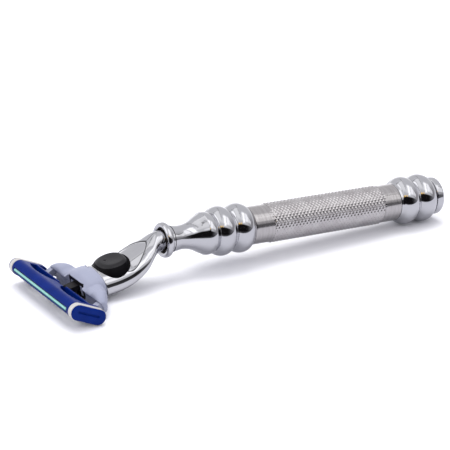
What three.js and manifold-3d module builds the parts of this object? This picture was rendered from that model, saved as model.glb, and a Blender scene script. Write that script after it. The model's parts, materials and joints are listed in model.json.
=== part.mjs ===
// Cartridge razor: a turned metal handle, a swan-neck head adapter with a release button,
// and a pivoting three-blade cartridge on a carrier that slides off the adapter's nose.
//
// Millimetres, +Z up, lying as it rests on a table: the pommel's rear bead and the
// cartridge's guard touch z = 0.  +X runs towards the pommel, y = 0 is the plane of symmetry.
import * as THREE from 'three';
import { mergeVertices } from 'three/addons/utils/BufferGeometryUtils.js';
import Module from 'manifold-3d';

const wasm = await Module();
wasm.setup();

// ---------------------------------------------------------------- driving dimensions

const GAP = 0.3;                        // clearance between neighbouring pieces
const MID_LENGTH = 58.13;               // front pommel bead to the middle of the razor

// Handle, in its own frame: x = 0 at the front pommel bead, the head end at negative x.
const HANDLE_TILT = 2.94;               // degrees; the head end is raised
const BEAD_R = 7.7;                     // crest radius of the four large beads
const BEAD_ARC = 4.0;                   // radius of a bead's rounded crest
const BEAD_PITCH = 6.6;
const SMALL_BEAD_R = 6.6;
const GRIP_R = 5.92;                    // plain ends of the grip sleeve
const KNURL_R = 6.24;                   // over the knurling
const NECK_R = 3.7;
const COLLAR_R = 5.43;
const CAP_R = 6.04;                     // pommel cap
const ROD_R = 3.2;
const ROD_THREAD_R = 2.2;
const STUD_R = 1.6;

const CAP_END = 13.0;                   // stations along the handle
const POMMEL_REAR = 9.9;
const POMMEL_FRONT = -3.6;
const GRIP_REAR = -4.4;
const KNURL_REAR = -10.5;
const KNURL_FRONT = -51.8;
const GRIP_FRONT = -58.2;
const FERRULE_REAR = -58.9;
const FRONT_BEAD = -62.15;
const SMALL_BEAD = -73.9;
const NECK_WAIST = -82.2;
const FERRULE_FRONT = -85.8;
const COLLAR_MID = -87.7;

// Head adapter's nose, in its own frame: x = 0 at the adapter's front face, +x back
// towards the handle, z square to the nose.
const NOSE_X = -110.5;
const NOSE_Z = 4.45;
const NOSE_SLOPE = 10;                  // degrees; the nose points down
const NOSE_LENGTH = 6.6;
const INSERT_HALF = 4.4;                // half width of the docking nose
const INSERT_LOW = -2.1;
const INSERT_HIGH = 2.7;
const INSERT_REAR = 9.7;
const STEM_X = [4.9, 6.7];              // the button's stem
const STEM_HALF = 1.5;
const CHANNEL_HALF = 3.7;
const CHANNEL_LOW = -1.5;
const CHANNEL_HIGH = 2.0;
const PLUNGER_Z = 1.0;
const PLUNGER_TIP_R = 0.8;

// Cartridge, in its own frame: x from the cap edge to the guard edge, z out of its back.
const CARTRIDGE_X = -123.8;
const CARTRIDGE_Z = 4.11;
const CARTRIDGE_PITCH = 25;             // degrees; the guard edge is the lower one
const CARTRIDGE_WIDTH = 42;
const CARTRIDGE_DEPTH = 11.8;
const CARTRIDGE_THICK = 4.8;
const PIVOT = [3.9, -0.3];              // pivot axis in the cartridge's frame
const PIN_R = 0.7;
const PIVOT_BOSS_R = 1.0;
const SWEEP_R = 3.75;                   // what the guard side of the housing sweeps
const FLOOR_Z = 0.4;                    // bottom of the hollows in the housing's back
const RIB_FRONT = 0.9;                  // rib between the hollows and the carrier
const RIB_REAR = 1.6;
const HOLLOW_END = 16.8;
const CAM_ANGLE = 35;                   // slope of the cam face above the back
const WEB_HALF = 2.3;                   // half width of the web that carries the cam
const CLIP_NEAR = 18.5;
const CLIP_FAR = 20.3;
const BLADE_COUNT = 3;
const BLADE_PITCH = 1.45;
const BLADE_HALF = 16.2;
const BAY_HALF = 16.6;                  // half width of the opening that holds the blades
const STRIP_HALF = 16.9;
const GUARD_HALF = 16.1;
const EAR_NEAR = 13.6;                  // slot in the housing's end for a carrier arm
const EAR_FAR = 16.4;
const ARM_NEAR = 14.0;
const ARM_FAR = 16.1;
const PIN_NEAR = 15.0;
const PIN_FAR = 17.6;
const BEYOND = 20;                      // past every face of the piece that is cut

// ---------------------------------------------------------------- solids

const WELD = 1e-4;
const SIDES = [['left', 1], ['right', -1]];

function signedVolume(position, corners) {
  let volume = 0;
  const a = new THREE.Vector3();
  const b = new THREE.Vector3();
  const c = new THREE.Vector3();
  for (let i = 0; i < corners.length; i += 3) {
    a.fromArray(position, 3 * corners[i]);
    b.fromArray(position, 3 * corners[i + 1]);
    c.fromArray(position, 3 * corners[i + 2]);
    volume += a.dot(b.cross(c)) / 6;
  }
  return volume;
}

// A closed geometry as a solid: corners welded, slivers at the poles dropped, faces outward.
function solid(geometry) {
  const bare = geometry.clone();
  bare.deleteAttribute('normal');
  bare.deleteAttribute('uv');
  const welded = mergeVertices(bare, WELD);
  const position = welded.getAttribute('position').array;
  const index = welded.getIndex().array;
  const corners = [];
  for (let i = 0; i < index.length; i += 3) {
    const [a, b, c] = index.slice(i, i + 3);
    if (a !== b && b !== c && c !== a) corners.push(a, b, c);
  }
  if (signedVolume(position, corners) < 0) corners.reverse();
  return new wasm.Manifold(new wasm.Mesh({
    numProp: 3,
    vertProperties: Float32Array.from(position),
    triVerts: Uint32Array.from(corners),
  }));
}

function cut(body, ...cutters) {
  return cutters.reduce((rest, cutter) => rest.subtract(cutter), body);
}

function join(body, ...others) {
  return others.reduce((whole, other) => whole.add(other), body);
}

function piece(name, body, material) {
  const { vertProperties, triVerts } = body.getMesh();
  const geometry = new THREE.BufferGeometry();
  geometry.setAttribute('position', new THREE.BufferAttribute(vertProperties, 3));
  geometry.setIndex(new THREE.BufferAttribute(triVerts, 1));
  geometry.computeVertexNormals();
  const mesh = new THREE.Mesh(geometry, material);
  mesh.name = name;
  return mesh;
}

// Turned piece about the x axis from a profile of [x, radius] pairs.
function turned(profile, facets = 32) {
  const first = [profile[0][0], 0];
  const last = [profile[profile.length - 1][0], 0];
  const points = [first, ...profile, last].map(([x, r]) => new THREE.Vector2(r, x));
  return solid(new THREE.LatheGeometry(points, facets).rotateZ(-Math.PI / 2));
}

function rod(x0, x1, radius, facets = 20) {
  return turned([[x0, radius], [x1, radius]], facets);
}

// Cylinder square to the plane of symmetry, at [x, z].
function crossPin([x, z], y0, y1, radius, facets = 20) {
  const geometry = new THREE.CylinderGeometry(radius, radius, y1 - y0, facets);
  return solid(geometry.translate(x, (y0 + y1) / 2, z));
}

function block(x0, x1, y0, y1, z0, z1) {
  const geometry = new THREE.BoxGeometry(x1 - x0, y1 - y0, z1 - z0);
  return solid(geometry.translate((x0 + x1) / 2, (y0 + y1) / 2, (z0 + z1) / 2));
}

// Block that spans the same stretch on one side of the plane of symmetry.
function sideBlock(side, x0, x1, near, far, z0, z1) {
  const [low, high] = side > 0 ? [near, far] : [-far, -near];
  return block(x0, x1, low, high, z0, z1);
}

// Outline of [x, z] pairs swept from y0 to y1.
function prism(outline, y0, y1) {
  const shape = new THREE.Shape(outline.map(([x, z]) => new THREE.Vector2(x, z)));
  const geometry = new THREE.ExtrudeGeometry(shape, { depth: y1 - y0, bevelEnabled: false });
  return solid(geometry.rotateX(Math.PI / 2).translate(0, y1, 0));
}

// Skin over a row of rings of points, closed by a fan at each end.
function loft(rings) {
  const count = rings[0].length;
  const points = rings.flat();
  const index = [];
  const quad = (a, b, c, d) => index.push(a, b, c, a, c, d);
  for (let ring = 0; ring + 1 < rings.length; ring += 1) {
    for (let i = 0; i < count; i += 1) {
      const next = (i + 1) % count;
      const base = ring * count;
      quad(base + i, base + next, base + count + next, base + count + i);
    }
  }
  for (const [ring, flip] of [[0, true], [rings.length - 1, false]]) {
    const middle = new THREE.Vector3();
    rings[ring].forEach((point) => middle.addScaledVector(point, 1 / count));
    points.push(middle);
    for (let i = 0; i < count; i += 1) {
      const edge = [ring * count + i, ring * count + ((i + 1) % count)];
      if (flip) edge.reverse();
      index.push(edge[0], edge[1], points.length - 1);
    }
  }
  const geometry = new THREE.BufferGeometry().setFromPoints(points);
  geometry.setIndex(index);
  return solid(geometry);
}

// Points of a rounded oval with half sizes a and b; a higher power gives squarer corners.
function oval(a, b, power, count) {
  return Array.from({ length: count }, (_, i) => {
    const turn = (2 * Math.PI * i) / count;
    const [c, s] = [Math.cos(turn), Math.sin(turn)];
    return [a * Math.sign(c) * Math.abs(c) ** (2 / power),
      b * Math.sign(s) * Math.abs(s) ** (2 / power)];
  });
}

// Outline with straight sides and half-round ends, as [x, z] pairs.
function pill(depth, thick, arcSteps = 7) {
  const radius = thick / 2;
  const reach = depth / 2 - radius;
  return [1, -1].flatMap((end) => Array.from({ length: arcSteps }, (_, i) => {
    const turn = Math.PI * (i / (arcSteps - 1) - 0.5);
    return [end * (reach + radius * Math.cos(turn)), end * radius * Math.sin(turn)];
  }));
}

// Crest of a bead as profile points between two stations.
function bead(centre, crest, from, to, steps = 7) {
  return Array.from({ length: steps }, (_, i) => {
    const x = from + ((to - from) * i) / (steps - 1);
    return [x, crest - BEAD_ARC + Math.sqrt(BEAD_ARC ** 2 - (x - centre) ** 2)];
  });
}

function frameAt(x, z, degrees) {
  const turn = THREE.MathUtils.degToRad(degrees);
  return new THREE.Matrix4().makeRotationY(turn).setPosition(x, 0, z);
}

// A solid drawn in a turned frame, carried into the razor's frame.
function carried(body, matrix) {
  return body.transform(matrix.elements);
}

// ---------------------------------------------------------------- materials

function finish(color, roughness, metalness) {
  return new THREE.MeshStandardMaterial({ color, roughness, metalness });
}

const chrome = () => finish(0xc9cbd0, 0.08, 1);
const satinSteel = () => finish(0xb4b0b2, 0.32, 1);
const plainSteel = () => finish(0x9a9a9e, 0.4, 1);
const springSteel = () => finish(0x8f9196, 0.3, 1);
const bladeSteel = () => finish(0xc4c8cc, 0.18, 1);
const brassMetal = () => finish(0xb08d4a, 0.35, 1);
const blackPlastic = () => finish(0x141216, 0.55, 0);
const nylon = () => finish(0x2a2a2c, 0.6, 0);
const greyPlastic = () => finish(0xb2b6cd, 0.42, 0);
const bluePlastic = () => finish(0x123a9c, 0.3, 0);
const mintStrip = () => finish(0xa0e1d7, 0.5, 0);
const guardRubber = () => finish(0xb9c4d6, 0.7, 0);
const clipMetal = () => finish(0xd9d3cd, 0.35, 0.8);

// ---------------------------------------------------------------- handle

function pommel() {
  const body = turned([
    [POMMEL_FRONT, 5.7],
    ...bead(0, BEAD_R, -3.2, 3.2),
    ...bead(BEAD_PITCH, BEAD_R, 3.4, 9.7),
    [POMMEL_REAR, 5.7],
  ]);
  return cut(body, rod(POMMEL_FRONT - 1, POMMEL_REAR + 1, ROD_THREAD_R + GAP));
}

function pommelCap() {
  const front = POMMEL_REAR + GAP;
  const edge = 0.7;
  const body = turned([
    [front, CAP_R - 0.4],
    [front + 0.3, CAP_R],
    [CAP_END - edge, CAP_R],
    [CAP_END - 0.2, CAP_R - 0.4],
    [CAP_END, CAP_R - 0.9],
  ]);
  return join(body, rod(front - 4, front + 0.5, ROD_THREAD_R));
}

function gripSleeve() {
  const lead = 0.12;
  const body = turned([
    [GRIP_FRONT, GRIP_R - 0.15],
    [GRIP_FRONT + 0.2, GRIP_R],
    [KNURL_FRONT, GRIP_R],
    [KNURL_FRONT + lead, KNURL_R],
    [KNURL_REAR - lead, KNURL_R],
    [KNURL_REAR, GRIP_R],
    [GRIP_REAR - 0.2, GRIP_R],
    [GRIP_REAR, GRIP_R - 0.15],
  ]);
  return cut(body, rod(GRIP_FRONT - 1, GRIP_REAR + 1, ROD_R + GAP));
}

function coreRod() {
  const shoulder = 1.4;
  return turned([
    [FERRULE_REAR - 8, ROD_THREAD_R],
    [GRIP_FRONT + shoulder, ROD_THREAD_R],
    [GRIP_FRONT + shoulder + 0.4, ROD_R],
    [GRIP_REAR - shoulder - 0.4, ROD_R],
    [GRIP_REAR - shoulder, ROD_THREAD_R],
    [POMMEL_REAR - 4.4, ROD_THREAD_R],
  ], 20);
}

function jointWasher(middle) {
  const half = 0.14;
  const body = rod(middle - half, middle + half, GRIP_R - 0.25, 32);
  return cut(body, rod(middle - 1, middle + 1, ROD_THREAD_R + GAP));
}

function ferrule() {
  const neck = new THREE.SplineCurve([
    new THREE.Vector2(FERRULE_FRONT, 4.15),
    new THREE.Vector2(NECK_WAIST, NECK_R),
    new THREE.Vector2(-79.2, 4.25),
    new THREE.Vector2(-76.6, 5.55),
    new THREE.Vector2(-74.9, 6.4),
  ]);
  const body = turned([
    ...neck.getPoints(12).map((point) => [point.x, point.y]),
    ...bead(SMALL_BEAD, SMALL_BEAD_R, -74.4, -71.8, 4),
    ...bead(FRONT_BEAD - BEAD_PITCH, BEAD_R, -71.6, -65.5),
    ...bead(FRONT_BEAD, BEAD_R, -65.4, -59.1),
    [FERRULE_REAR, 5.75],
  ]);
  return cut(
    body,
    rod(FERRULE_REAR - 9, FERRULE_REAR + 1, ROD_THREAD_R + GAP),
    rod(FERRULE_FRONT - 1, FERRULE_FRONT + 9.3, STUD_R + 1.5),
  );
}

function neckInsert() {
  const body = rod(FERRULE_FRONT + 0.2, FERRULE_FRONT + 9, STUD_R + 1.2);
  return cut(body, rod(FERRULE_FRONT - 1, FERRULE_FRONT + 10, STUD_R + GAP));
}

function adapterStud() {
  return rod(FERRULE_FRONT - 5.0, FERRULE_FRONT + 8.6, STUD_R);
}

function collarWasher() {
  const front = FERRULE_FRONT - 0.6;
  return cut(rod(front, front + 0.35, 3.3), rod(front - 1, front + 1, STUD_R + GAP));
}

function neckCollar() {
  const rear = FERRULE_FRONT - 0.9;
  const lip = 4.7;
  const body = turned([
    [COLLAR_MID - 1.35, lip - 0.2],
    [COLLAR_MID - 1.3, lip],
    [COLLAR_MID - 0.8, COLLAR_R - 0.22],
    [COLLAR_MID, COLLAR_R],
    [COLLAR_MID + 0.6, COLLAR_R - 0.18],
    [rear - 0.1, lip],
    [rear, lip - 0.4],
  ]);
  const hollow = turned([
    [COLLAR_MID - 2, lip - 0.3],
    [COLLAR_MID - 1.2, lip - 0.5],
    [COLLAR_MID + 0.2, NECK_R],
  ]);
  return cut(body, hollow, rod(COLLAR_MID - 3, rear + 1, STUD_R + GAP));
}

// ---------------------------------------------------------------- head adapter and button

// Upright sections of the swan neck from the collar to the nose:
// [x, height of the middle, half width, half height].
const SWAN_NECK = [
  [-88.0, 12.55, 3.2, 3.2],
  [-89.7, 12.5, 3.2, 3.15],
  [-91.5, 12.1, 3.7, 3.1],
  [-93.8, 10.85, 5.4, 2.65],
  [-96.3, 9.25, 6.75, 3.25],
  [-99.3, 7.5, 7.35, 3.7],
  [-102.4, 6.05, 7.4, 3.85],
  [-106.0, 5.05, 7.3, 3.9],
  [-110.0, 4.4, 7.1, 3.95],
  [-113.0, 3.9, 7.0, 3.95],
];

function swanNeck(grow = 0) {
  const middles = SWAN_NECK.map(([x, z]) => new THREE.Vector3(x, 0, z));
  const halves = SWAN_NECK.map(([, , a, b], i) => new THREE.Vector3(a, b, i));
  const path = new THREE.CatmullRomCurve3(middles, false, 'catmullrom', 0.5);
  const sizes = new THREE.CatmullRomCurve3(halves, false, 'catmullrom', 0.5);
  const steps = 24;
  return loft(Array.from({ length: steps + 1 }, (_, i) => {
    const middle = path.getPoint(i / steps);
    const size = sizes.getPoint(i / steps);
    const power = 2 + 0.3 * Math.min(1, i / (steps / 2));
    return oval(size.x + grow, size.y + grow, power, 28)
      .map(([y, z]) => new THREE.Vector3(middle.x, y, middle.z + z));
  }));
}

// Leaf-shaped hollow for the thumb: pointed at the neck, broad at the button, open above.
function thumbDish() {
  const edge = new THREE.SplineCurve([
    new THREE.Vector2(-0.2, 0.1),
    new THREE.Vector2(2.4, 2.5),
    new THREE.Vector2(4.9, 4.6),
    new THREE.Vector2(7.6, 5.9),
    new THREE.Vector2(9.8, 6.1),
    new THREE.Vector2(12.0, 5.2),
  ]).getPoints(10);
  const [depth, height] = [0.28, 4];
  const bowl = turned(edge.map(({ x, y }) => [x, y]), 28).scale([1, 1, depth]);
  const outline = [...edge, ...edge.toReversed().map(({ x, y }) => new THREE.Vector2(x, -y))];
  const well = solid(new THREE.ExtrudeGeometry(new THREE.Shape(outline),
    { depth: height, bevelEnabled: false }));
  // The bowl's own +x runs down the slope towards the button.
  const slope = THREE.MathUtils.degToRad(27.5);
  const matrix = new THREE.Matrix4().makeBasis(
    new THREE.Vector3(-Math.cos(slope), 0, -Math.sin(slope)),
    new THREE.Vector3(0, -1, 0),
    new THREE.Vector3(-Math.sin(slope), 0, Math.cos(slope)),
  );
  matrix.setPosition(-93.9, 0, 12.95);
  return carried(join(bowl, well), matrix);
}

function headAdapter(nose, handle) {
  const dishFront = 9.2;
  const screwHole = rod(INSERT_REAR, INSERT_REAR + 3.5, 1.0, 16);
  const clear = [-BEYOND, BEYOND, -BEYOND, BEYOND];
  return cut(
    swanNeck(),
    cut(thumbDish(), carried(block(-3 * BEYOND, dishFront, ...clear), nose)),
    carried(block(-BEYOND, 0, ...clear), nose),
    carried(block(-1, INSERT_REAR + GAP, -INSERT_HALF - GAP, INSERT_HALF + GAP,
      INSERT_LOW - GAP, INSERT_HIGH + GAP), nose),
    carried(block(STEM_X[0] - 3.3, STEM_X[1] + 0.9, -STEM_HALF - 0.7, STEM_HALF + 0.7,
      0, 9), nose),
    carried(screwHole, nose),
    carried(rod(FERRULE_FRONT - 5.4, FERRULE_FRONT + 1, STUD_R + GAP), handle),
  );
}

function noseInsert() {
  const body = block(-NOSE_LENGTH, INSERT_REAR, -INSERT_HALF, INSERT_HALF, INSERT_LOW, INSERT_HIGH);
  return cut(
    body,
    block(-NOSE_LENGTH - 1, INSERT_REAR - 1.2, -CHANNEL_HALF, CHANNEL_HALF,
      CHANNEL_LOW, CHANNEL_HIGH),
    block(STEM_X[0] - 3.5, STEM_X[1] + 1.3, -STEM_HALF - 0.5, STEM_HALF + 0.5, 0, 5),
    rod(INSERT_REAR - 2, INSERT_REAR + 1, 1.0, 16),
  );
}

function noseScrew() {
  const [headStart, headEnd, tip] = [7.6, 8.2, 12.8];
  const [headR, shankR] = [1.4, 0.7];
  return turned([[headStart, headR], [headEnd, headR], [headEnd + 0.05, shankR],
    [tip, shankR]], 16);
}

function ejector() {
  const half = CHANNEL_HALF - 0.2;
  const [low, high] = [CHANNEL_LOW + 0.2, CHANNEL_HIGH - 0.2];
  const slot = block(STEM_X[0] - GAP, STEM_X[1] + GAP, -STEM_HALF - GAP, STEM_HALF + GAP,
    -0.6, 5);
  const base = cut(block(4.0, 7.3, -half, half, low, high), slot);
  const prongs = SIDES.map(([, side]) =>
    sideBlock(side, -NOSE_LENGTH, 4.2, 2.3, half, low, high));
  return join(base, ...prongs);
}

function releaseButton(nose) {
  // Upright ovals: [height, middle, half length, half width]
  const levels = [
    [0.6, 4.85, 5.8, 6.75],
    [2.0, 4.85, 5.85, 6.65],
    [3.0, 4.95, 5.6, 5.9],
    [3.8, 5.15, 5.0, 4.9],
    [4.45, 5.35, 4.2, 3.85],
    [4.75, 5.45, 3.5, 3.05],
  ];
  const rings = levels.map(([z, x, length, width]) => oval(length, width, 2.1, 28)
    .map(([dx, y]) => new THREE.Vector3(x + dx, y, z)));
  const seat = carried(swanNeck(GAP), nose.clone().invert());
  const shape = cut(loft(rings), seat);
  const stem = block(STEM_X[0], STEM_X[1], -STEM_HALF, STEM_HALF, -0.3, 4.6);
  return join(shape, stem);
}

function plunger() {
  const half = 1.8;
  const tip = PLUNGER_TIP_FRONT + PLUNGER_TIP_R;
  const rear = -2.6;
  return join(
    crossPin([tip, PLUNGER_Z], -half, half, PLUNGER_TIP_R),
    block(tip, rear, -half, half, PLUNGER_Z - PLUNGER_TIP_R, PLUNGER_Z + PLUNGER_TIP_R),
    block(-4.0, rear, -half, half, PLUNGER_Z - 1.2, PLUNGER_Z + 0.8),
  );
}

function returnSpring() {
  const [front, rear] = [-2.4, 3.7];
  const turns = 7;
  const radius = 0.55;
  const wire = 0.13;
  class Helix extends THREE.Curve {
    getPoint(t, target = new THREE.Vector3()) {
      const turn = 2 * Math.PI * turns * t;
      const x = front + wire + (rear - front - 2 * wire) * t;
      return target.set(x, radius * Math.cos(turn), PLUNGER_Z + radius * Math.sin(turn));
    }
  }
  const section = new THREE.Shape(oval(wire, wire, 2, 6).map(([a, b]) =>
    new THREE.Vector2(a, b)));
  return solid(new THREE.ExtrudeGeometry(section, {
    steps: turns * 11,
    bevelEnabled: false,
    extrudePath: new Helix(),
  }));
}

// ---------------------------------------------------------------- carrier

// Position of the pivot axis in the nose's frame, from the two turned frames.
const noseFrame = frameAt(NOSE_X, NOSE_Z, -NOSE_SLOPE);
const cartridgeFrame = frameAt(CARTRIDGE_X, CARTRIDGE_Z, CARTRIDGE_PITCH);
const pivotPoint = new THREE.Vector3(PIVOT[0], 0, PIVOT[1]).applyMatrix4(cartridgeFrame);
const pivotInNose = pivotPoint.clone().applyMatrix4(noseFrame.clone().invert());

// The plunger's round tip rests against the cam face, which leans by this much at rest.
const CAM_LEAN = THREE.MathUtils.degToRad(90 - NOSE_SLOPE - CARTRIDGE_PITCH - CAM_ANGLE);
const PLUNGER_TIP_FRONT = pivotInNose.x
  + (PLUNGER_TIP_R + GAP) / Math.cos(CAM_LEAN)
  - (PLUNGER_Z - pivotInNose.z) * Math.tan(CAM_LEAN) - PLUNGER_TIP_R;

function carrier() {
  const skirt = -0.45;
  // Hood over the nose: [x, height of the middle, half width, half height]
  const hood = [
    [skirt, 0.1, 7.15, 4.15],
    [-2.5, 0.45, 7.2, 4.1],
    [-5.0, 0.75, 7.3, 3.95],
    [-6.6, 0.8, 7.3, 3.7],
    [-7.6, 0.65, 7.0, 3.25],
  ].map(([x, z, a, b]) => oval(a, b, 2.7, 28)
    .map(([y, dz]) => new THREE.Vector3(x, y, z + dz)));
  // Wing out to the pivot: [distance from the middle, x, z, half length, half height]
  const wing = [
    [3.0, -4.1, 1.0, 3.2, 2.9],
    [6.5, -4.3, 1.4, 3.0, 2.5],
    [9.5, -4.7, 1.5, 2.6, 2.2],
    [12.0, -5.1, 1.2, 2.2, 2.1],
    [14.5, -6.0, 0.7, 1.7, 2.2],
    [16.4, -6.5, -0.1, 1.3, 1.8],
  ];
  const wings = SIDES.map(([, side]) => loft(wing.map(([y, x, z, a, b]) =>
    oval(a, b, 2.6, 20).map(([dx, dz]) => new THREE.Vector3(x + dx, side * y, z + dz)))));
  const pivot = [pivotInNose.x, pivotInNose.z];
  const sweep = crossPin(pivot, -BEYOND, BEYOND, SWEEP_R, 32);
  const reach = [3.8, 1.25];
  const across = [-reach[1], reach[0]].map((v) => (v * PIVOT_BOSS_R) / Math.hypot(...reach));
  const arms = SIDES.flatMap(([, side]) => {
    const [y0, y1] = side > 0 ? [ARM_NEAR, ARM_FAR] : [-ARM_FAR, -ARM_NEAR];
    const [p0, p1] = side > 0 ? [PIN_NEAR, PIN_FAR] : [-PIN_FAR, -PIN_NEAR];
    const outline = [
      [pivot[0] + across[0], pivot[1] + across[1]],
      [pivot[0] - across[0], pivot[1] - across[1]],
      [pivot[0] + reach[0] - across[0], pivot[1] + reach[1] - across[1]],
      [pivot[0] + reach[0] + across[0], pivot[1] + reach[1] + across[1]],
    ];
    return [
      prism(outline, y0, y1),
      crossPin(pivot, y0, y1, PIVOT_BOSS_R),
      crossPin(pivot, p0, p1, PIN_R, 16),
    ];
  });
  const slotHalf = 5.2;
  const notchLength = 2.0;
  const shell = cut(join(loft(hood), ...wings), sweep);
  return cut(
    join(shell, ...arms),
    block(-NOSE_LENGTH - GAP, 1, -INSERT_HALF - GAP, INSERT_HALF + GAP,
      INSERT_LOW - GAP, INSERT_HIGH + GAP),
    block(-BEYOND, -NOSE_LENGTH, -slotHalf, slotHalf, 0, CHANNEL_HIGH + 0.9),
    block(-notchLength, 1, -INSERT_HALF, INSERT_HALF, 2, 6),
  );
}

// ---------------------------------------------------------------- cartridge

// Pill-shaped bar across the razor with softened ends.
function pillBar(depth, thick, half, rounding) {
  const steps = [[-half, 1], [-half + 0.25, 0.45], [-half + rounding, 0],
    [half - rounding, 0], [half - 0.25, 0.45], [half, 1]];
  return loft(steps.map(([y, inset]) => {
    const trim = 2 * inset * rounding * 0.6;
    return pill(depth - trim, thick - trim).map(([x, z]) => new THREE.Vector3(x, y, z));
  }));
}

// Rinse hollow in the housing's back on one side of the web: bowed front edge, rib behind.
function backHollow(side) {
  const edge = new THREE.SplineCurve([
    new THREE.Vector2(-0.2, WEB_HALF),
    new THREE.Vector2(-2.2, 4.8),
    new THREE.Vector2(-3.1, 8.8),
    new THREE.Vector2(-2.8, 13.0),
    new THREE.Vector2(-1.4, HOLLOW_END),
  ]).getPoints(8);
  const outline = [new THREE.Vector2(RIB_FRONT, WEB_HALF), ...edge,
    new THREE.Vector2(RIB_FRONT, HOLLOW_END)];
  const shape = new THREE.Shape(outline.map(({ x, y }) => new THREE.Vector2(x, side * y)));
  const geometry = new THREE.ExtrudeGeometry(shape, { depth: 4, bevelEnabled: false });
  return solid(geometry.translate(0, 0, FLOOR_Z));
}

const STRIP = [[-5.6, -0.25], [-5.8, -0.55], [-5.76, -1.15], [-5.35, -1.6], [-3.9, -1.95],
  [-3.8, -1.5], [-5.0, -0.85]];

function housing() {
  const thick = CARTRIDGE_THICK;
  const body = pillBar(CARTRIDGE_DEPTH, thick, CARTRIDGE_WIDTH / 2, 1.1);
  const slope = Math.tan(THREE.MathUtils.degToRad(CAM_ANGLE));
  const camRear = PIVOT[0] + 0.3;
  const camHigh = 3.2;
  const camCut = prism([
    [PIVOT[0] - (camHigh - PIVOT[1]) / slope, camHigh],
    [camRear, PIVOT[1] - 0.3 * slope],
    [9, PIVOT[1] - 0.3 * slope],
    [9, camHigh],
  ], -WEB_HALF - 0.01, WEB_HALF + 0.01);
  const stripBed = [[-7, 0], [-5.3, 0], [-3.55, -1.2], [-3.55, -3], [-7, -3]];
  const windows = [-13.2, -9.6, -6.0, 6.0, 9.6, 13.2].map((y) =>
    block(-2.2, 0.7, y - 1.3, y + 1.3, -1, 3));
  const sideCuts = SIDES.flatMap(([, side]) => {
    const bar = prism(pill(CARTRIDGE_DEPTH + 4, thick + 4), CLIP_NEAR - 0.2, CLIP_FAR + 0.2);
    const core = prism(pill(CARTRIDGE_DEPTH - 0.9, thick - 0.9), CLIP_NEAR - 1, CLIP_FAR + 1);
    const ring = cut(bar, core);
    return [
      side > 0 ? ring : ring.mirror([0, 1, 0]),
      backHollow(side),
      sideBlock(side, 2.2, 9, EAR_NEAR, EAR_FAR, -1.65, 5),
      crossPin(PIVOT, side > 0 ? 16 : -18.1, side > 0 ? 18.1 : -16, PIN_R + GAP, 16),
    ];
  });
  return cut(
    body,
    camCut,
    block(RIB_REAR, 9, -HOLLOW_END, HOLLOW_END, FLOOR_Z, 5),
    block(-3.2, 1.7, -BAY_HALF, BAY_HALF, -3, 0.1),
    prism(stripBed, -STRIP_HALF - GAP, STRIP_HALF + GAP),
    block(2.3, 4.75, -GUARD_HALF - GAP, GUARD_HALF + GAP, -3, -1.95),
    ...windows,
    ...sideCuts,
  );
}

function lubricatingStrip() {
  return prism(STRIP, -STRIP_HALF, STRIP_HALF);
}

function guardFins() {
  const [front, rear] = [2.5, 4.55];
  const base = block(front, rear, -GUARD_HALF, GUARD_HALF, -2.2, -2.03);
  const pitch = 0.5;
  const fins = Array.from({ length: 4 }, (_, i) => {
    const x = front + 0.2 + i * pitch;
    return prism([[x, -2.15], [x + 0.28, -2.15], [x + 0.2, -2.48], [x + 0.08, -2.48]],
      -GUARD_HALF, GUARD_HALF);
  });
  return join(base, ...fins);
}

function clip(side) {
  const ring = cut(
    prism(pill(CARTRIDGE_DEPTH + 0.2, CARTRIDGE_THICK + 0.2), CLIP_NEAR, CLIP_FAR),
    prism(pill(CARTRIDGE_DEPTH - 0.4, CARTRIDGE_THICK - 0.4), CLIP_NEAR - 1, CLIP_FAR + 1),
  );
  return side > 0 ? ring : ring.mirror([0, 1, 0]);
}

// Blade and its angled support, one pair for each step across the cartridge.
const bladeEdge = (index) => -1.35 + index * BLADE_PITCH;

function blade(index) {
  const x = bladeEdge(index);
  const [rise, run, thickness] = [0.52, 1.15, 0.1];
  return prism([[x, -2.4], [x - run, -2.4 + rise], [x - run, -2.4 + rise + thickness],
    [x - 0.15, -2.4 + 0.17]], -BLADE_HALF, BLADE_HALF);
}

function bladeSupport(index) {
  const x = bladeEdge(index);
  const bar = 0.2;
  return prism([
    [x - 0.3, -2.02],
    [x - 1.15, -1.64],
    [x - 1.15, -0.15],
    [x - 1.15 + bar, -0.15],
    [x - 1.15 + bar, -1.5],
    [x - 0.3, -1.8],
  ], -BLADE_HALF, BLADE_HALF);
}

// ---------------------------------------------------------------- assembly

function groupAt(matrix, ...meshes) {
  const group = new THREE.Group();
  group.applyMatrix4(matrix);
  group.add(...meshes);
  return group;
}

const liftedBead = BEAD_R + BEAD_PITCH * Math.sin(THREE.MathUtils.degToRad(HANDLE_TILT));
const handleFrame = frameAt(0, liftedBead, HANDLE_TILT);

const handle = groupAt(
  handleFrame,
  piece('pommel', pommel(), chrome()),
  piece('pommel_cap', pommelCap(), chrome()),
  piece('rear_washer', jointWasher((POMMEL_FRONT + GRIP_REAR) / 2), nylon()),
  piece('grip_sleeve', gripSleeve(), satinSteel()),
  piece('core_rod', coreRod(), plainSteel()),
  piece('front_washer', jointWasher((GRIP_FRONT + FERRULE_REAR) / 2), nylon()),
  piece('ferrule', ferrule(), chrome()),
  piece('neck_insert', neckInsert(), brassMetal()),
  piece('collar_washer', collarWasher(), nylon()),
  piece('neck_collar', neckCollar(), chrome()),
  piece('adapter_stud', adapterStud(), plainSteel()),
);

const nose = groupAt(
  noseFrame,
  piece('nose_insert', noseInsert(), blackPlastic()),
  piece('nose_screw', noseScrew(), plainSteel()),
  piece('ejector', ejector(), greyPlastic()),
  piece('release_button', releaseButton(noseFrame), blackPlastic()),
  piece('plunger', plunger(), blackPlastic()),
  piece('return_spring', returnSpring(), springSteel()),
  piece('carrier', carrier(), greyPlastic()),
);

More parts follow.
